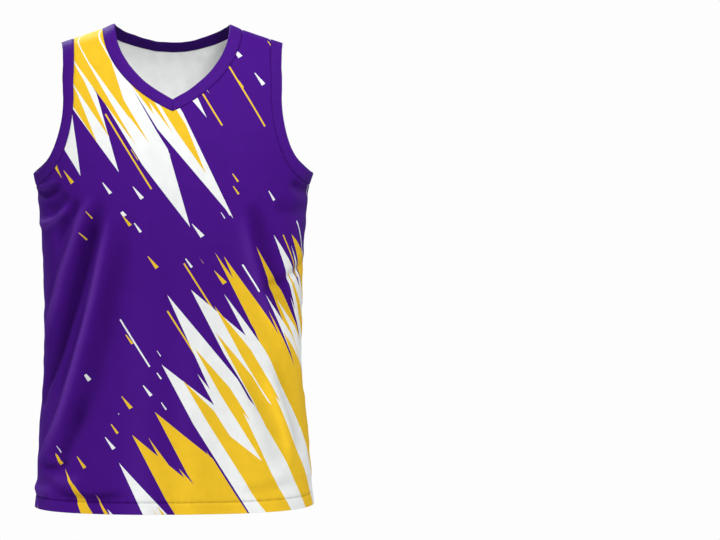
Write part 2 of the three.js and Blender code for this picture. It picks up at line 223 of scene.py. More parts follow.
def normal_of(surface, angle, height):
    around = surface(angle + NORMAL_TURN, height) - surface(angle - NORMAL_TURN, height)
    up = surface(angle, height + NORMAL_LIFT) - surface(angle, height - NORMAL_LIFT)
    return unit(np.cross(around, up))


def smoothstep(x, low, high):
    t = np.clip((x - low) / (high - low), 0, 1)
    return t * t * (3 - 2 * t)


def spline(points, steps):
    """Points along a uniform Catmull-Rom curve through the given ones."""
    p = np.asarray(points, float)
    p = np.concatenate([[p[0]], p, [p[-1]]])
    at = np.linspace(0, len(points) - 1, steps + 1)
    k = np.minimum(at.astype(int), len(points) - 2)
    t = (at - k)[:, None]
    a, b, c, d = (p[k + i] for i in range(4))
    v0, v1 = (c - a) / 2, (d - b) / 2
    return (2 * b - 2 * c + v0 + v1) * t**3 + (-3 * b + 3 * c - 2 * v0 - v1) * t**2 + v0 * t + b


def fold_lines():
    lines = []
    for panel, half_width, depth, path in FOLDS:
        x, height = np.array(path, float).T
        angle, _ = place_at(panel, x, height)
        if panel == "back":
            angle = np.where(angle < 0, angle + 2 * math.pi, angle)
        flat = np.stack([angle * GIRTH_PER_RADIAN, height], -1)
        lines.append((spline(flat, FOLD_STEPS), half_width, depth))
    return lines


FOLD_LINES = fold_lines()


def fold_depth(angle, height):
    """How far the creases and the hem's flutes move the cloth out of the filled form."""
    total = np.zeros_like(angle)
    for points, half_width, depth in FOLD_LINES:
        reach = FOLD_REACH * half_width
        low, high = points.min(0) - reach, points.max(0) + reach
        for turn in (-2 * math.pi, 0, 2 * math.pi):
            here = np.stack([(angle + turn) * GIRTH_PER_RADIAN, height], -1)
            near = ((here > low) & (here < high)).all(-1)
            if not near.any():
                continue
            spot = here[near]
            nearest, at = np.full(len(spot), np.inf), np.zeros(len(spot))
            for i, (a, b) in enumerate(zip(points[:-1], points[1:])):
                d = b - a
                t = np.clip((spot - a) @ d / (d @ d), 0, 1)
                distance = np.linalg.norm(spot - a - t[:, None] * d, axis=1)
                closer = distance < nearest
                nearest[closer] = distance[closer]
                at[closer] = (i + t[closer]) / FOLD_STEPS
            fade = smoothstep(np.minimum(at, 1 - at), *FOLD_FADE)
            total[near] += depth * fade * np.exp(-((nearest / half_width) ** 2))
    flute = np.sin(HEM_WAVES * angle + np.sin(HEM_WAVE_SHIFTS * angle))
    return total + HEM_WAVE_DEPTH * np.exp(-height / HEM_WAVE_REACH) * flute


# Loose cloth is never quite even: waves round, waves up, size and phase of each
UNEVENNESS = [
    (5, 0.012, 0.55, 0.3),
    (11, 0.021, 0.35, 2.1),
    (8, -0.030, 0.30, 4.0),
    (17, 0.038, 0.22, 1.2),
    (23, -0.052, 0.14, 5.1),
]

# Ripples along the side seams, up to a little below the arms: waves up, size and phase
SIDE_RIPPLES = [(0.118, 0.50, 0.7), (0.171, 0.32, 3.9), (0.263, 0.18, 1.6)]
SIDE_RIPPLE_REACH = 20.0
SIDE_RIPPLE_END = (PIT - 60, PIT - 6)


def cloth(angle, height):
    """The outer face of the cloth: the filled form with its creases."""
    out = fold_depth(angle, height)
    for around, up, size, phase in UNEVENNESS:
        out = out + size * np.sin(around * angle + up * height + phase)
    to_side = np.abs(np.abs(angle) - np.pi / 2) * GIRTH_PER_RADIAN
    ripple = sum(
        size * np.sin(up * height + phase + np.sign(angle)) for up, size, phase in SIDE_RIPPLES
    )
    below_arm = 1 - smoothstep(height, *SIDE_RIPPLE_END)
    out = out + ripple * np.exp(-to_side / SIDE_RIPPLE_REACH) * below_arm
    return filled_form(angle, height) + out[..., None] * normal_of(filled_form, angle, height)


def bezier(control, t):
    p, n = np.asarray(control, float), len(control) - 1
    return sum(
        math.comb(n, i) * (t**i * (1 - t) ** (n - i))[:, None] * p[i] for i in range(n + 1)
    )


def seam_line(panel, curves, side):
    """Dense places along a seam line, as (angle, height), and the length up to each."""
    t = (1 - np.cos(np.pi * np.linspace(0, 1, SEAM_SAMPLES))) / 2
    seen = np.concatenate([bezier(c, t) for c in curves])
    angle, height = place_at(panel, side * seen[:, 0], seen[:, 1])
    angle[-1] = side * np.pi / 2
    steps = np.linalg.norm(np.diff(filled_form(angle, height), axis=0), axis=1)
    return np.stack([angle, height], -1), np.concatenate([[0], np.cumsum(steps)])


def along(line, lengths, wanted):
    return np.stack([np.interp(wanted, lengths, line[:, i]) for i in range(2)], -1)


# The panels
SPACING = 3.3
COLUMNS, ROWS_ABOVE_PIT = 92, 84
ROW_SAMPLES = 120
EDGE_STEPS = np.array([0.0, 0.8, 1.7, 2.8, 4.2])
HEM_STEPS = np.array([1.2, 2.6])
HEM_ROWS = [0, 0.6, 6, 12, *(HEM_DEPTH - HEM_STEPS[::-1]), HEM_DEPTH, *(HEM_DEPTH + HEM_STEPS)]
GIRTH_HEIGHTS = np.linspace(0, 730, 147)
GIRTH_ANGLES = np.linspace(0, np.pi, 361)
SEAM_POINT_GAP = 0.6
SIDE_POINTS, SHOULDER_POINTS = 800, 100

# Seams sink into the cloth, and it stands a little full beside them
GROOVE_DEPTH, GROOVE_WIDTH = 0.85, 1.5
PUFF_HEIGHT, PUFF_WIDTH = 0.495, 5.5
HEM_GROOVE_DEPTH, HEM_GROOVE_WIDTH = 0.85, 1.3
HEM_RISE, HEM_STEP_IN = 0.35, 0.5
GROOVE_INSIDE = 0.6
# Painted shade in the seams' grooves: how much each millimetre of groove adds to the crease depth
SEAM_SHADE = 13.0

# The pucker along the hem: size, width, and lengths of its waves, their drift and their patches
PUCKER_SIZE, PUCKER_WIDTH = 0.16, 7.0
PUCKER_WAVE, PUCKER_DRIFT, PUCKER_PATCH = 2.3, 21.0, 37.0

# How far each panel stays from the plane where the two meet
HALF_GAP = 0.02


def graded(length, count, fine_start, fine_end):
    """Positions from 0 to length, close together towards the ends that are seams."""
    head = EDGE_STEPS[:-1] if fine_start else np.array([])
    tail = length - EDGE_STEPS[:-1][::-1] if fine_end else np.array([])
    low = EDGE_STEPS[-1] if fine_start else 0.0
    high = length - EDGE_STEPS[-1] if fine_end else length
    middle = np.linspace(low, high, count - len(head) - len(tail))
    return np.concatenate([head, middle, tail])


def row_ends(panel, side):
    """Places of the inner and outer end of every row of a panel's half, and the neck's row."""
    middle, seam = (0.0 if panel == "front" else side * np.pi), side * np.pi / 2
    body = np.linspace(HEM_ROWS[-1], PIT, int((PIT - HEM_DEPTH) / SPACING))[1:]
    heights = np.concatenate([HEM_ROWS, body])
    neck_line, neck_lengths = seam_line(panel, NECK_SEAM[panel], side)
    arm_line, arm_lengths = seam_line(panel, ARMHOLE_SEAM[panel], side)
    start = NECK_SEAM[panel][0][0][1]
    inner_length = start - PIT + neck_lengths[-1]
    inner_at = graded(inner_length, ROWS_ABOVE_PIT + 1, False, True)[1:]
    # A row starts just where the neck line leaves the middle
    neck_row = int(np.argmin(np.abs(inner_at - (start - PIT))))
    inner_at[neck_row] = start - PIT
    outer_at = graded(arm_lengths[-1], ROWS_ABOVE_PIT + 1, False, True)[1:]
    inner = [(middle, h) for h in heights]
    for at in inner_at:
        if at <= start - PIT:
            inner.append((middle, PIT + at))
        else:
            inner.append(tuple(along(neck_line, neck_lengths, np.array([at - start + PIT]))[0]))
    outer = [(seam, h) for h in heights]
    outer += [tuple(p) for p in along(arm_line, arm_lengths, outer_at)]
    return np.array(inner), np.array(outer), len(heights) + neck_row


def row_places(start, end):
    """Places across one row, close together at both ends."""
    t = np.linspace(0, 1, ROW_SAMPLES)[:, None]
    line = start + (end - start) * t
    steps = np.linalg.norm(np.diff(filled_form(line[:, 0], line[:, 1]), axis=0), axis=1)
    lengths = np.concatenate([[0], np.cumsum(steps)])
    return along(line, lengths, graded(lengths[-1], COLUMNS + 1, True, True))


def girth_table():
    """Length round the filled form from the front's middle, by height and angle."""
    angles, heights = np.meshgrid(GIRTH_ANGLES, GIRTH_HEIGHTS)
    points = filled_form(angles.ravel(), heights.ravel()).reshape(*angles.shape, 3)
    steps = np.linalg.norm(np.diff(points, axis=1), axis=2)
    return np.concatenate([np.zeros((len(steps), 1)), np.cumsum(steps, axis=1)], 1)


GIRTHS = girth_table()


def cut_coordinates(panel, angle, height):
    """Where a place lies on the flat cut, in metres from the middle of its hem."""
    row = np.interp(height, GIRTH_HEIGHTS, np.arange(len(GIRTH_HEIGHTS)))
    col = np.interp(np.abs(angle), GIRTH_ANGLES, np.arange(len(GIRTH_ANGLES)))
    r0 = np.minimum(row.astype(int), len(GIRTH_HEIGHTS) - 2)
    c0 = np.minimum(col.astype(int), len(GIRTH_ANGLES) - 2)
    fr, fc = row - r0, col - c0
    length = (
        GIRTHS[r0, c0] * (1 - fr) * (1 - fc)
        + GIRTHS[r0 + 1, c0] * fr * (1 - fc)
        + GIRTHS[r0, c0 + 1] * (1 - fr) * fc
        + GIRTHS[r0 + 1, c0 + 1] * fr * fc
    )
    if panel == "back":
        half = np.interp(height, GIRTH_HEIGHTS, GIRTHS[:, -1])
        length = half - length
        return np.stack([-np.sign(angle) * length, height], -1) / 1000
    return np.stack([np.sign(angle) * length, height], -1) / 1000


def make_mesh(name, points, faces, uv=None, slots=None, crease=None):
    """A smooth-shaded object from points in millimetres, heights from the hem."""
    mesh = bpy.data.meshes.new(name)
    placed = (points - np.array([0, 0, STRAP_MIDDLE])) / 1000
    mesh.from_pydata(placed.tolist(), [], [tuple(f) for f in faces])
    mesh.shade_smooth()
    if uv is not None:
        layer = mesh.uv_layers.new(name="cut")
        corner = np.empty(len(mesh.loops), int)
        mesh.loops.foreach_get("vertex_index", corner)
        layer.data.foreach_set("uv", uv[corner].astype(np.float32).ravel())
    if slots is not None:
        mesh.polygons.foreach_set("material_index", np.asarray(slots, np.int32))
    # The crease depth at each point, which the materials turn into painted shade and highlight
    depth = mesh.attributes.new("crease", "FLOAT", "POINT")
    if crease is None:
        crease = np.zeros(len(points))
    depth.data.foreach_set("value", crease.astype(np.float32))
    piece = bpy.data.objects.new(name, mesh)
    bpy.context.scene.collection.objects.link(piece)
    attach(piece, "root")
    return piece


def distance_to(points, line):
    tree = KDTree(len(line))
    for i, p in enumerate(line):
        tree.insert(p, i)
    tree.balance()
    return np.array([tree.find(p)[2] for p in points])


def on_cloth(places):
    return cloth(places[:, 0], places[:, 1])


def evenly(line, lengths, gap):
    return along(line, lengths, np.linspace(0, lengths[-1], int(lengths[-1] / gap)))


def seam_points(panel):
    """Points every half millimetre or so along all the seams round a panel."""
    lines = []
    for side in (-1, 1):
        for seams in (NECK_SEAM, ARMHOLE_SEAM):
            lines.append(evenly(*seam_line(panel, seams[panel], side), SEAM_POINT_GAP))
        for low, high, count in (
            (0, PIT, SIDE_POINTS),
            (SHOULDER_TIP, NECK_POINT, SHOULDER_POINTS),
        ):
            heights = np.linspace(low, high, count)
            lines.append(np.stack([np.full(count, side * np.pi / 2), heights], -1))
    return np.concatenate([on_cloth(line) for line in lines])


def seam_relief(panel, point, angle, height):
    """How far the seams, the hem and its pucker move the outer face of the cloth."""
    off = distance_to(point, seam_points(panel))
    relief = -GROOVE_DEPTH * np.exp(-((off / GROOVE_WIDTH) ** 2))
    relief += PUFF_HEIGHT * (off / PUFF_WIDTH) * np.exp(1 - off / PUFF_WIDTH)
    above_hem = height - HEM_DEPTH
    relief -= HEM_GROOVE_DEPTH * np.exp(-((above_hem / HEM_GROOVE_WIDTH) ** 2))
    relief += HEM_RISE * (1 - smoothstep(above_hem, -HEM_STEPS[-1], 0))
    girth = angle * GIRTH_PER_RADIAN
    waves = np.sin(girth / PUCKER_WAVE + 2 * np.sin(girth / PUCKER_DRIFT))
    pucker = waves * np.sin(girth / PUCKER_PATCH + 1)
    return relief + PUCKER_SIZE * pucker * np.exp(-((above_hem / PUCKER_WIDTH) ** 2))


def panel_piece(panel, name):
    halves = {side: row_ends(panel, side) for side in (-1, 1)}
    neck_row = halves[1][2]
    places, starts = [], []
    total = 0
    rows = len(halves[1][0])
    for r in range(rows):
        left = row_places(halves[-1][0][r], halves[-1][1][r])[::-1]
        right = row_places(halves[1][0][r], halves[1][1][r])
        if r <= neck_row:
            right = right[1:]
        starts.append(total)
        places += [left, right]
        total += len(left) + len(right)
    places = np.concatenate(places)
    angle, height = places.T
    normal = normal_of(cloth, angle, height)
    point = cloth(angle, height)
    relief = seam_relief(panel, point, angle, height)
    outer = point + relief[:, None] * normal
    thickness = np.where(height < HEM_DEPTH + HEM_STEP_IN, HEM_THICKNESS, CLOTH_THICKNESS)
    inner = point - (thickness - np.minimum(relief, 0) * GROOVE_INSIDE)[:, None] * normal
    for face in (outer, inner):
        y = face[:, 1]
        face[:, 1] = np.minimum(y, -HALF_GAP) if panel == "front" else np.maximum(y, HALF_GAP)

    def vertex(r, side, i):
        split = 0 if r <= neck_row else 1
        return starts[r] + (COLUMNS - i if side < 0 else COLUMNS + split + i)

    faces = []
    for r in range(rows - 1):
        for side in (-1, 1):
            for i in range(COLUMNS):
                near = (vertex(r, side, i), vertex(r + 1, side, i))
                far = (vertex(r, side, i + 1), vertex(r + 1, side, i + 1))
                if side < 0:
                    near, far = far, near
                faces.append((near[0], far[0], far[1], near[1]))
    if panel == "back":
        faces = [f[::-1] for f in faces]
    # An edge that no second face runs back along is on the rim
    edges = {}
    for f in faces:
        for k in range(4):
            a, b = f[k], f[(k + 1) % 4]
            if (b, a) in edges:
                del edges[(b, a)]
            else:
                edges[(a, b)] = True
    n = len(outer)
    inside = [tuple(i + n for i in f[::-1]) for f in faces]
    rim = [(b, a, a + n, b + n) for a, b in edges]
    uv = cut_coordinates(panel, angle, height)
    slots = [0] * len(faces) + [1] * len(inside) + [0] * len(rim)
    # Crease depth for painted shade and highlight, deepened along the seams' and hem's grooves as
    # painted shade
    crease = fold_depth(angle, height) + SEAM_SHADE * np.minimum(relief, 0)
    return make_mesh(
        name, np.concatenate([outer, inner]), faces + inside + rim,
        np.concatenate([uv, uv]), slots, np.concatenate([crease, np.zeros(n)]),
    )


# The bindings
BINDING_STEP = 2.4
BINDING_DEPTH = 2.0
OUTER_POINTS = 11
RIPPLE_POINTS = slice(3, 6)
RIPPLE_SIZE, RIPPLE_WAVE, RIPPLE_DRIFT = 0.0368, 1.9, 17.0

# The mitre's groove: width, depth and painted shade; shares of a step where rows are added beside it
MITRE_WIDTH, MITRE_SINK, MITRE_SHADE = 1.0, 0.8, 12.0
MITRE_SHARES = np.array([0.0, 0.2, 0.45, 0.7])[:, None]
# Painted shade at the first points of the profile, along the seam edge
SEAM_EDGE_SHADE = (-12, -12, -5)


def binding_profile(width, undercut):
    """Section of the folded strip: distance out from the seam, and height above the panel."""
    return [
        (-0.6, -0.95), (-0.35, -0.5), (0.5, 0.0), (1.5, 0.28), (3.2, 0.42),
        (width * 0.35, 0.55), (width * 0.65, 0.55),
        (width - 3.2, 0.42), (width - 1.4, 0.15), (width - 0.4, -0.4), (width, -1.0),
        (width - 0.4, -1.5), (width - 1.6, -1.85), (width * 0.6, -2.0),
        (2.5 + undercut, -1.95), (0.6 + undercut, -1.7),
    ]


def lengths_along(line):
    return np.concatenate([[0], np.cumsum(np.linalg.norm(np.diff(line, axis=0), axis=1))])


def binding_piece(name, places, direction, width, stand, lean, closed, sunk):
    """One folded strip along a seam; gives also its seam line and the directions of its width
    and its face, for the stitches."""
    normal = normal_of(cloth, places[:, 0], places[:, 1])
    start = on_cloth(places)
    if closed:
        tangent = np.roll(start, -1, 0) - np.roll(start, 1, 0)
    else:
        tangent = np.gradient(start, axis=0)
    tangent = unit(tangent) * direction
    tangent = unit(tangent - (tangent * normal).sum(-1, keepdims=True) * normal)
    square = np.cross(tangent, normal)
    square = square * np.cos(stand)[:, None] + normal * np.sin(stand)[:, None]
    face = np.cross(square, tangent)
    outward = square * np.cos(lean)[:, None] + tangent * np.sin(lean)[:, None]
    lengths = lengths_along(start)
    rows, uv, crease = [], [], []
    for i in range(len(start)):
        reach = width[i] / math.cos(lean[i])
        undercut = BINDING_DEPTH * math.tan(max(0.0, -stand[i]))
        profile = np.array(binding_profile(reach, undercut))
        drift = 2 * math.sin(lengths[i] / RIPPLE_DRIFT)
        profile[RIPPLE_POINTS, 1] += RIPPLE_SIZE * math.sin(lengths[i] / RIPPLE_WAVE + drift)
        # Painted shade along the seam edge and in the mitre's groove, carried as crease depth
        shade = np.zeros(len(profile))
        shade[: len(SEAM_EDGE_SHADE)] = SEAM_EDGE_SHADE
        profile[:OUTER_POINTS, 1] -= MITRE_SINK * sunk[i]
        shade[:OUTER_POINTS] -= MITRE_SHADE * sunk[i]
        row = start[i] + profile[:, :1] * outward[i] + profile[:, 1:] * face[i]
        if not closed and i in (0, len(start) - 1):
            row[:, 0] = 0
        rows.append(row)
        crease.append(shade)
        uv.append([(lengths[i] / 1000, d / 1000) for d, _ in profile])
    points, ring, count = np.concatenate(rows), len(rows[0]), len(rows)
    spans = count if closed else count - 1
    faces = []
    for s in range(spans):
        for k in range(ring):
            a, b = s * ring + k, s * ring + (k + 1) % ring
            c, d = (b + ring) % (ring * count), (a + ring) % (ring * count)
            faces.append((d, c, b, a))
    if not closed:
        last = (count - 1) * ring
        faces += [tuple(range(ring)), tuple(last + k for k in reversed(range(ring)))]
    # The side towards the wearer takes the second material; the ends take the first
    # The second material is the binding's purple darkened as painted shade
    hidden = range(OUTER_POINTS - 1, ring)
    slots = [1 if k in hidden else 0 for k in range(ring)] * spans
    slots += [0] * (len(faces) - len(slots))
    uv = np.concatenate([np.array(u) for u in uv])
    piece = make_mesh(name, points, faces, uv, slots, np.concatenate(crease))
    return piece, start, outward, face


def neck_places():
    """Places round the neck seam, from the V up the right side, round the back and down again."""
    parts = []
    for panel, side, back in (
        ("front", -1, False), ("back", -1, True), ("back", 1, False), ("front", 1, True),
    ):
        places = evenly(*seam_line(panel, NECK_SEAM[panel], side), BINDING_STEP)
        if panel == "back":
            places[:, 0] = np.where(places[:, 0] == 0, side * np.pi, places[:, 0])
        parts.append(places[::-1] if back else places)
    line = np.concatenate([parts[0][:-1], parts[1], parts[2][1:], parts[3][1:]])
    first = line[0] + MITRE_SHARES * (line[1] - line[0])
    last = line[-1] + MITRE_SHARES * (line[-2] - line[-1])
    return np.concatenate([first, line[1:-1], last[::-1]])


def arm_places(side):
    """Places round an armhole seam, up the front and down the back."""
    parts = []
    for panel in ("front", "back"):
        places = evenly(*seam_line(panel, ARMHOLE_SEAM[panel], side), BINDING_STEP)
        parts.append(places if panel == "front" else places[::-1][1:-1])
    return np.concatenate(parts)


def neck_binding():
    places = neck_places()
    start = on_cloth(places)
    to_mitre = np.minimum(*(np.linalg.norm(start - end, axis=1) for end in (start[0], start[-1])))
    side = np.where(np.arange(len(places)) < len(places) / 2, -1.0, 1.0)
    rise = start[len(MITRE_SHARES) - 1] - start[0]
    slope = math.atan2(rise[2], abs(rise[0]))
    at_mitre = (1 - smoothstep(to_mitre, 0, MITRE_LENGTH)) * (np.cos(places[:, 0]) > 0)
    at_shoulder = np.sin(places[:, 0]) ** 4
    return binding_piece(
        "neck_binding_cloth", places, 1.0,
        NECK_BINDING_WIDTH + NECK_BINDING_EXTRA * at_shoulder,
        NECK_BINDING_STAND * at_shoulder, -side * slope * at_mitre, False,
        np.exp(-((to_mitre / MITRE_WIDTH) ** 2)),
    )


def arm_binding(side, name):
    places = arm_places(side)
    high = smoothstep(places[:, 1], *CURL_LEVELS)
    curl = ARM_BINDING_CURL * np.abs(np.cos(places[:, 0])) * high
    flat = np.zeros(len(places))
    width = flat + ARM_BINDING_WIDTH
    return binding_piece(name, places, float(side), width, -curl, flat, True, flat)


# Stitches
STITCH, STITCH_GAP, THREAD = 2.1, 0.9, 0.21
STITCH_LIFT = THREAD * np.array([-0.9, 0.5, 0.8, 0.5, -0.9])
STITCH_RADIUS = THREAD * np.array([0.55, 1.0, 1.0, 1.0, 0.55])
RINGS, AROUND = len(STITCH_LIFT), 6
HEM_SAMPLES, HEM_STITCH_RISE = 900, 0.18
BINDING_STITCH_OUT, BINDING_STITCH_RISE = 1.9, 0.36


def stitches(name, line, normal, uv=None):
    """A row of short threads along a line of points, each arching out of the cloth."""
    lengths = lengths_along(line)
    count = int(lengths[-1] / (STITCH + STITCH_GAP))
    pitch = lengths[-1] / count

    def at(s, values):
        return np.stack([np.interp(s, lengths, values[:, i]) for i in range(values.shape[1])], -1)

    turn = np.arange(AROUND) * 2 * np.pi / AROUND
    points, faces, uvs = [], [], []
    for k in range(count):
        s = k * pitch + STITCH_GAP / 2 + np.linspace(0, pitch - STITCH_GAP, RINGS)
        centre, up = at(s, line), unit(at(s, normal))
        forward = unit(np.gradient(centre, axis=0))
        sideways = np.cross(up, forward)
        base = len(points) * AROUND
        for j in range(RINGS):
            spoke = np.cos(turn)[:, None] * sideways[j] + np.sin(turn)[:, None] * up[j]
            points.append(centre[j] + up[j] * STITCH_LIFT[j] + STITCH_RADIUS[j] * spoke)
            if uv is not None:
                uvs.append(np.repeat(at(s[j : j + 1], uv), AROUND, 0))
            if j:
                low = base + (j - 1) * AROUND
                for m in range(AROUND):
                    a, b = low + m, low + (m + 1) % AROUND
                    faces.append((a, b, b + AROUND, a + AROUND))
        last = base + (RINGS - 1) * AROUND
        faces.append(tuple(base + m for m in reversed(range(AROUND))))
        faces.append(tuple(last + m for m in range(AROUND)))
    return make_mesh(name, np.concatenate(points), faces, np.concatenate(uvs) if uvs else None)


def hem_stitches(panel, name):
    first = -np.pi / 2 if panel == "front" else np.pi / 2
    angles = np.linspace(first, first + np.pi, HEM_SAMPLES)
    angles = np.where(angles > np.pi, angles - 2 * np.pi, angles)
    height = np.full(HEM_SAMPLES, HEM_DEPTH)
    normal = normal_of(cloth, angles, height)
    line = cloth(angles, height) + normal * (HEM_STITCH_RISE - HEM_GROOVE_DEPTH)
    return stitches(name, line, normal, cut_coordinates(panel, angles, height))


# Materials
class Value:
    """A shader value; arithmetic on it adds Math nodes."""

    def __init__(self, tree, socket):
        self.tree, self.socket = tree, socket

    def op(self, name, *others):
        node = self.tree.nodes.new("ShaderNodeMath")
        node.operation = name
        for socket, value in zip(node.inputs, (self, *others)):
            if isinstance(value, Value):
                self.tree.links.new(value.socket, socket)
            else:
                socket.default_value = value
        return Value(self.tree, node.outputs[0])

    def __add__(self, other):
        return self.op("ADD", other)

    def __sub__(self, other):
        return self.op("SUBTRACT", other)

    def __mul__(self, other):
        return self.op("MULTIPLY", other)

    def __truediv__(self, other):
        return self.op("DIVIDE", other)

    def floor(self):
        return self.op("FLOOR")

    def fract(self):
        return self.op("FRACT")

    def clamp(self):
        return self.op("MAXIMUM", 0.0).op("MINIMUM", 1.0)

    def above(self, other):
        return self.op("GREATER_THAN", other)

    def below(self, other):
        return self.op("LESS_THAN", other)

    def noise(self, seed, other=None):
        """A random number from 0 to 1 for each value, or pair of values."""
        node = self.tree.nodes.new("ShaderNodeTexWhiteNoise")
        if other is None:
            node.noise_dimensions = "1D"
            self.tree.links.new((self + seed).socket, node.inputs["W"])
        else:
            node.noise_dimensions = "3D"
            join = self.tree.nodes.new("ShaderNodeCombineXYZ")
            self.tree.links.new(self.socket, join.inputs[0])
            self.tree.links.new(other.socket, join.inputs[1])
            join.inputs[2].default_value = seed
            self.tree.links.new(join.outputs[0], node.inputs["Vector"])
        return Value(self.tree, node.outputs["Value"])


def mix_colour(tree, factor, a, b):
    node = tree.nodes.new("ShaderNodeMix")
    node.data_type = "RGBA"
    tree.links.new(factor.socket, node.inputs["Factor"])
    for name, value in (("A", a), ("B", b)):
        socket = [s for s in node.inputs if s.name == name and s.type == "RGBA"][0]
        if isinstance(value, tuple):
            socket.default_value = (*value, 1)
        else:
            tree.links.new(value, socket)
    return [s for s in node.outputs if s.type == "RGBA"][0]


# Knit: one pit wide and high, in metres; depth of its bump; strength of the bump and how much
# of it is slow unevenness; scale and detail of that unevenness
WALE, COURSE = 0.00115, 0.00095
PIT_DEPTH = 0.00035
KNIT_STRENGTH, SLOW_BUMP = 0.5, 2.0
SLOW_SCALE, SLOW_DETAIL = 55.0, 3.0

# Cloth: how rough and how glossy; pits get painted shade, and dye takes a little unevenly
ROUGHNESS, GLOSS = 0.65, 0.04
PIT_SHADE, PIT_MEAN = 0.22, 0.6
DYE_SPREAD = 0.16

# Painted shade and highlight for each millimetre of a crease, more of it on a ridge, and its least
# and most
CREASE_SHADE, RIDGE_GAIN = 0.025, 1.8
CREASE_LIMITS = (0.5, 1.5)

# The dark dye is painted paler on a ridge this high, as a painted highlight, and deeper in a crease
# this deep, as painted shade
RIDGE_FULL, CREASE_FULL = 9.0, 12.0
PURPLE = (0.054, 0.0054, 0.201)
PAINTED_HIGHLIGHT_PURPLE = (0.078, 0.020, 0.212)
PAINTED_SHADE_PURPLE = (0.0350, 0.0012, 0.136)
BINDING_PURPLE = (0.056, 0.0068, 0.204)
# The binding's purple darkened as painted shade, for its side towards the wearer
BINDING_SHADE = (0.024, 0.0040, 0.098)
THREAD_PURPLE = (0.075, 0.014, 0.25)
GOLD = (0.76, 0.475, 0.021)
WHITE = (0.765, 0.785, 0.775)
REVERSE_WHITE = (0.86, 0.87, 0.86)

# The print, in millimetres on the flat cut, leaning from upright
LEAN = math.radians(-32)
PRINT_SEEDS = {"front": 20.0, "back": 320.0}

# Layers of blades, from the lowest: width, how far their tips lie back from the group's edge,
# how much the tips spread, length, step in seed, gap at each side and share of gold
BLADE_LAYERS = [
    (47.0, 0.0, 120, 170, 2.0, 1.5, 0.4),
    (19.0, 90.0, 150, 120, 4.0, 0.9, 0.55),
    (31.0, 210.0, 160, 130, 6.0, 1.2, 0.5),
]

# Groups of blades: pointing down or up; their edge's middle, spread, height and foot; the thin
# lines' middle and where they start; step in seed
BLADE_GROUPS = [
    (False, (270, 165, 250, 20), 210.0, 22.0, 0.0),
    (True, (300, 85, 250, -660), 490.0, 170.0, 50.0),
]

# Thin lines: spacing, width, spread of their middles and share of gold
LINE_SPACING, LINE_WIDTH, LINE_SPREAD, LINE_GOLD = 64.0, 2.4, 90.0, 0.5

# Chips: size, density, share of gold and step in seed; how far beyond the blades' tips they
# reach, the distance they thin out over, how far inside they start, and how near the sides
CHIP_SIZE, CHIP_DENSITY, CHIP_GOLD, CHIP_SEED = (9.0, 30.0), 0.12, 0.45, 8.0
CHIP_BEYOND, CHIP_FADE, CHIP_INSIDE = 130.0, 150.0, 30.0
CHIP_EDGE = 190.0


def scaled(tree, colour, factor):
    node = tree.nodes.new("ShaderNodeVectorMath")
    node.operation = "SCALE"
    if isinstance(colour, tuple):
        node.inputs[0].default_value = colour
    else:
        tree.links.new(colour, node.inputs[0])
    tree.links.new(factor.socket, node.inputs["Scale"])
    return node.outputs[0]


def crease_depth(tree):
    crease = tree.nodes.new("ShaderNodeAttribute")
    crease.attribute_name = "crease"
    return Value(tree, crease.outputs["Fac"])


def crease_light(tree):
    """Painted shade in the bottoms of creases and painted highlight along their ridges."""
    depth = crease_depth(tree)
    down, up = depth.op("MINIMUM", 0.0), depth.op("MAXIMUM", 0.0)
    light = down * CREASE_SHADE + up * (RIDGE_GAIN * CREASE_SHADE) + 1.0
    least, most = CREASE_LIMITS
    return light.op("MAXIMUM", least).op("MINIMUM", most)


def purple_with_painted_light(tree):
    """The print's dark dye with a painted highlight on ridges and painted shade in creases."""
    depth = crease_depth(tree)
    colour = mix_colour(tree, (depth * (1 / RIDGE_FULL)).clamp(), PURPLE, PAINTED_HIGHLIGHT_PURPLE)
    return mix_colour(tree, (depth * (-1 / CREASE_FULL)).clamp(), colour, PAINTED_SHADE_PURPLE)


def hump(p, middle, spread, height, foot):
    """A smooth rise to height at middle, above a foot that may lie off the cloth."""
    q = (p - middle) / spread
    return (q * q + 1.0).op("POWER", -1.0) * height + foot


def blades(across, up, edge, width, back, reach, length, seed, gap):
    """Long pointed blades side by side; gives where they are, a random pick and the depth in."""
    cell = (across / width).floor()
    t = (across / width).fract()
    tall, skew = cell.noise(seed), cell.noise(seed + 41.3)
    end = hump((cell + 0.5) * width, *edge) - back + tall * reach
    share = ((end - up) / (skew * (0.9 * length) + 0.55 * length)).clamp()
    apex = skew * 0.8 + 0.1
    missing = share * -1.0 + 1.0
    left = t.above(apex * missing + gap / width)
    right = t.below(apex + (apex * -1.0 + 1.0) * share - gap / width)
    return left * right, cell.noise(seed + 77.7), end - up


def chips(across, up, density, seed):
    """Small pointed chips, thinning out with the density."""
    across, up = across / CHIP_SIZE[0], up / CHIP_SIZE[1]
    up = up + across.floor().noise(seed)
    row, column = up.floor(), across.floor()
    there = row.noise(seed + 5.5, column).below(density)
    big = row.noise(seed + 9.1, column)
    t = up.fract()
    wide = (t * -1.0 + 1.0) * (big * 0.75 + 0.15)
    inside = across.fract().below(wide) * t.above(0.12) * t.below(big * 0.5 + 0.45)
    return inside * there, row.noise(seed + 3.3, column)


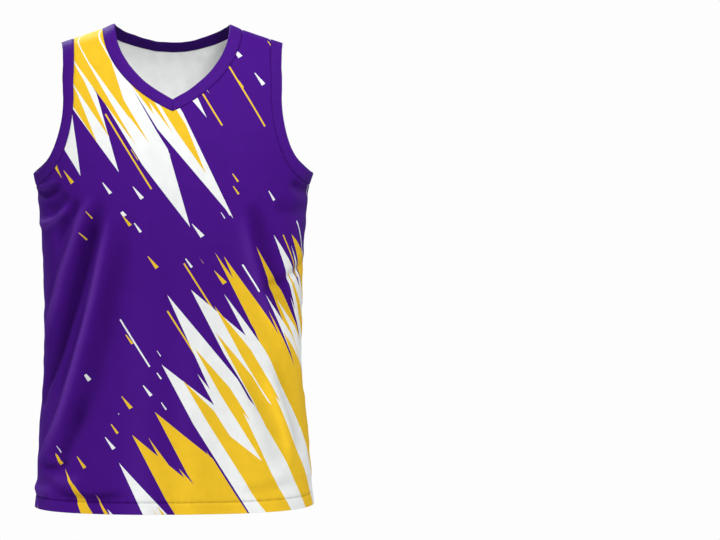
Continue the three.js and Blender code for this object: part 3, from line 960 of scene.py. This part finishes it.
def thin_lines(across, up, middle, start, seed):
    """Thin lines along the lean, each with a place and a length of its own."""
    cell = (across / LINE_SPACING).floor()
    spot = cell.noise(seed) * 0.8 + 0.1
    off = ((across / LINE_SPACING).fract() - spot).op("ABSOLUTE")
    half = cell.noise(seed + 3.1) * LINE_SPREAD + 0.25 * LINE_SPREAD
    centre = (cell.noise(seed + 6.7) - 0.5) * 1.2 * LINE_SPREAD + middle
    inside = off.below(LINE_WIDTH / LINE_SPACING / 2) * across.above(start)
    return inside * (up - centre).op("ABSOLUTE").below(half), cell.noise(seed + 9.9)


def paint(tree, base, inside, pick, gold):
    """Lays gold and white pieces over a colour."""
    ink = mix_colour(tree, pick.below(gold), WHITE, GOLD)
    return mix_colour(tree, inside, base, ink)


def on_cut(tree):
    """The map of the flat cut, and its two directions."""
    uv = tree.nodes.new("ShaderNodeUVMap")
    uv.uv_map = "cut"
    split = tree.nodes.new("ShaderNodeSeparateXYZ")
    tree.links.new(uv.outputs[0], split.inputs[0])
    return uv, Value(tree, split.outputs[0]), Value(tree, split.outputs[1])


def printed_colour(tree, panel):
    """Pointed blades in gold and white: from the wearer's left hem, and from the right shoulder."""
    _, x, y = on_cut(tree)
    x, y = x * 1000.0, y * 1000.0
    if panel == "back":
        x = x * -1.0
    s, c = math.sin(LEAN), math.cos(LEAN)
    across, up = x * c - y * s, x * s + y * c
    # The dark purple, with painted highlight on ridges and painted shade in creases
    colour = purple_with_painted_light(tree)
    for down, edge, line_middle, line_start, step in BLADE_GROUPS:
        seed = PRINT_SEEDS[panel] + step
        inside, pick = thin_lines(across, up, line_middle, line_start, seed)
        colour = paint(tree, colour, inside, pick, LINE_GOLD)
        ahead = up * -1.0 if down else up
        layers = [
            (blades(across, ahead, edge, width, back, reach, length, seed + layer_step, gap), gold)
            for width, back, reach, length, layer_step, gap, gold in BLADE_LAYERS
        ]
        (_, _, depth_in), _ = layers[0]
        near = ((depth_in + CHIP_BEYOND) / CHIP_FADE).clamp() * depth_in.below(CHIP_INSIDE)
        inside, pick = chips(across, up, near * CHIP_DENSITY, seed + CHIP_SEED)
        inside = inside * x.op("ABSOLUTE").below(CHIP_EDGE)
        colour = paint(tree, colour, inside, pick, CHIP_GOLD)
        for (inside, pick, _), gold in layers:
            colour = paint(tree, colour, inside, pick, gold)
    return colour


def knit(tree, shader):
    """The small pitted face of a birdseye knit; gives the pits, and a slow unevenness."""
    uv, u, v = on_cut(tree)
    u, v = u / WALE, v / COURSE
    stagger = (v.floor() * 0.5).fract()
    du = ((u + stagger).fract() - 0.5).op("ABSOLUTE") * 2.0
    dv = (v.fract() - 0.5).op("ABSOLUTE") * 2.0
    face = (du * du + dv * dv).op("POWER", 0.5).clamp()
    noise = tree.nodes.new("ShaderNodeTexNoise")
    tree.links.new(uv.outputs[0], noise.inputs["Vector"])
    noise.inputs["Scale"].default_value = SLOW_SCALE
    noise.inputs["Detail"].default_value = SLOW_DETAIL
    slow = Value(tree, noise.outputs[0])
    bump = tree.nodes.new("ShaderNodeBump")
    bump.inputs["Strength"].default_value = KNIT_STRENGTH
    bump.inputs["Distance"].default_value = PIT_DEPTH
    tree.links.new((face + slow * SLOW_BUMP).socket, bump.inputs["Height"])
    tree.links.new(bump.outputs[0], shader.inputs["Normal"])
    return face, slow


def cloth_material(name, colour=None, panel=None, pits=PIT_SHADE):
    material = bpy.data.materials.new(name)
    material.use_nodes = True
    tree = material.node_tree
    shader = tree.nodes["Principled BSDF"]
    shader.inputs["Roughness"].default_value = ROUGHNESS
    shader.inputs["Specular IOR Level"].default_value = GLOSS
    face, slow = knit(tree, shader)
    source = printed_colour(tree, panel) if panel else colour
    pitted = face * pits + (1.0 - PIT_MEAN * pits)
    # Painted shade and highlight from the creases and the knit's pits, times the dye's slow
    # unevenness
    light = crease_light(tree) * pitted * (slow * DYE_SPREAD + (1.0 - DYE_SPREAD / 2))
    tree.links.new(scaled(tree, source, light), shader.inputs["Base Color"])
    return material


reverse = cloth_material("white_reverse", colour=REVERSE_WHITE, pits=0.10)
prints = {panel: cloth_material(f"{panel}_print", panel=panel) for panel in ("front", "back")}
binding_cloth = cloth_material("binding_knit", colour=BINDING_PURPLE)
# The binding's purple darkened as painted shade, for the side towards the wearer
binding_painted_shade = cloth_material("binding_painted_shade", colour=BINDING_SHADE)
thread = cloth_material("purple_thread", colour=THREAD_PURPLE, pits=0.0)

# Pieces
SHEETS = {}
for panel in ("front", "back"):
    piece = panel_piece(panel, f"{panel}_panel_cloth")
    piece.data.materials.append(prints[panel])
    piece.data.materials.append(reverse)
    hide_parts(f"{panel}_panel")
    seam = hem_stitches(panel, f"{panel}_hem_stitches")
    seam.data.materials.append(prints[panel])
    SHEETS[panel] = (piece, seam)

for name, made in (
    ("neck_binding", neck_binding()),
    ("armhole_binding_right", arm_binding(-1, "armhole_binding_right_cloth")),
    ("armhole_binding_left", arm_binding(1, "armhole_binding_left_cloth")),
):
    piece, start, outward, face = made
    piece.data.materials.append(binding_cloth)
    piece.data.materials.append(binding_painted_shade)
    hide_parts(name)
    line = start + outward * BINDING_STITCH_OUT + face * BINDING_STITCH_RISE
    if name != "neck_binding":
        line, face = np.concatenate([line, line[:1]]), np.concatenate([face, face[:1]])
    row = stitches(f"{name}_stitches", line, face)
    row.data.materials.append(thread)
    SHEETS[name] = (piece, row)

# Flat sizes of what shows of each cut, in metres: width, length and area; what each is sewn to
BOTH_PANELS = ["front_panel_cloth", "back_panel_cloth"]
CUTS = {
    "front": ((0.557, 0.755), 0.323, ["back_panel_cloth"]),
    "back": ((0.541, 0.745), 0.329, ["front_panel_cloth"]),
    "neck_binding": ((0.0185, 0.700), None, BOTH_PANELS),
    "armhole_binding_right": ((0.019, 0.620), None, BOTH_PANELS),
    "armhole_binding_left": ((0.019, 0.620), None, BOTH_PANELS),
}
for name, (flat, area, rests_on) in CUTS.items():
    piece, seam = SHEETS[name]

# Stage, light and camera
CAMERA_LENS, SENSOR_WIDTH, CAMERA_REACH = 175.6, 36, 100
CAMERA_PLACE = (0, -5.3, -0.007)
CAMERA_DOWN, CAMERA_TURN = 3.73, -3.051
ROOM_LIGHT, BACKDROP_WHITE = 0.22, 0.983
FLOOR_HEIGHT, FLOOR_HALF = -1.05, 4.0
FLOOR_COLOUR, FLOOR_ROUGHNESS = (0.84, 0.84, 0.84, 1), 0.9
FLOOR_FADE = (0.5, 1.7)

# Lamps: name, place, target, size and power
LAMPS = [
    ("key", (1.0, -2.3, 2.0), (0, 0, -0.2), (1.0, 1.0), 118),
    ("fill", (-2.9, -0.9, 0.5), (0, 0, -0.35), (1.0, 1.6), 30),
    ("back_left", (-1.2, 2.5, 1.7), (0, 0, -0.3), (1.1, 1.1), 120),
    ("back_right", (2.4, 2.2, 0.3), (0, 0, -0.35), (1.2, 1.8), 14),
]

scene = bpy.context.scene
scene.view_settings.view_transform = "Standard"
camera = bpy.data.objects.new("camera", bpy.data.cameras.new("camera"))
scene.collection.objects.link(camera)
scene.camera = camera
camera.data.lens = CAMERA_LENS
camera.data.sensor_width = SENSOR_WIDTH
camera.data.clip_end = CAMERA_REACH
camera.location = CAMERA_PLACE
camera.rotation_euler = (math.radians(90 - CAMERA_DOWN), 0, math.radians(CAMERA_TURN))

world = bpy.data.worlds.new("studio")
scene.world = world
world.use_nodes = True
tree = world.node_tree
background = tree.nodes["Background"]
background.inputs["Color"].default_value = (1, 1, 1, 1)
path = tree.nodes.new("ShaderNodeLightPath")
level = tree.nodes.new("ShaderNodeMapRange")
level.inputs["To Min"].default_value = ROOM_LIGHT
level.inputs["To Max"].default_value = BACKDROP_WHITE
tree.links.new(path.outputs["Is Camera Ray"], level.inputs["Value"])
tree.links.new(level.outputs[0], background.inputs["Strength"])


def area_light(name, place, target, size, power):
    light = bpy.data.objects.new(name, bpy.data.lights.new(name, "AREA"))
    light.data.shape = "RECTANGLE"
    light.data.size, light.data.size_y = size
    light.data.energy = power
    light.location = place
    aim = np.array(target) - np.array(place)
    tilt = math.atan2(math.hypot(aim[0], aim[1]), -aim[2])
    light.rotation_euler = (tilt, 0, math.atan2(aim[1], aim[0]) - math.pi / 2)
    scene.collection.objects.link(light)


for lamp in LAMPS:
    area_light(*lamp)

floor_mesh = bpy.data.meshes.new("floor")
corners = [(FLOOR_HALF * x, FLOOR_HALF * y, 0) for x, y in ((-1, -1), (1, -1), (1, 1), (-1, 1))]
floor_mesh.from_pydata(corners, [], [(0, 1, 2, 3)])
floor = bpy.data.objects.new("floor", floor_mesh)
floor.location = (0, 0, FLOOR_HEIGHT)
scene.collection.objects.link(floor)
material = bpy.data.materials.new("pale_floor")
material.use_nodes = True
tree = material.node_tree
shader = tree.nodes["Principled BSDF"]
shader.inputs["Base Color"].default_value = FLOOR_COLOUR
shader.inputs["Roughness"].default_value = FLOOR_ROUGHNESS
place = tree.nodes.new("ShaderNodeTexCoord")
length = tree.nodes.new("ShaderNodeVectorMath")
length.operation = "LENGTH"
tree.links.new(place.outputs["Object"], length.inputs[0])
fade = tree.nodes.new("ShaderNodeMapRange")
fade.inputs["From Min"].default_value = FLOOR_FADE[0]
fade.inputs["From Max"].default_value = FLOOR_FADE[1]
tree.links.new(length.outputs["Value"], fade.inputs["Value"])
clear = tree.nodes.new("ShaderNodeBsdfTransparent")
blend = tree.nodes.new("ShaderNodeMixShader")
tree.links.new(fade.outputs[0], blend.inputs[0])
tree.links.new(shader.outputs[0], blend.inputs[1])
tree.links.new(clear.outputs[0], blend.inputs[2])
tree.links.new(blend.outputs[0], tree.nodes["Material Output"].inputs["Surface"])
floor_mesh.materials.append(material)
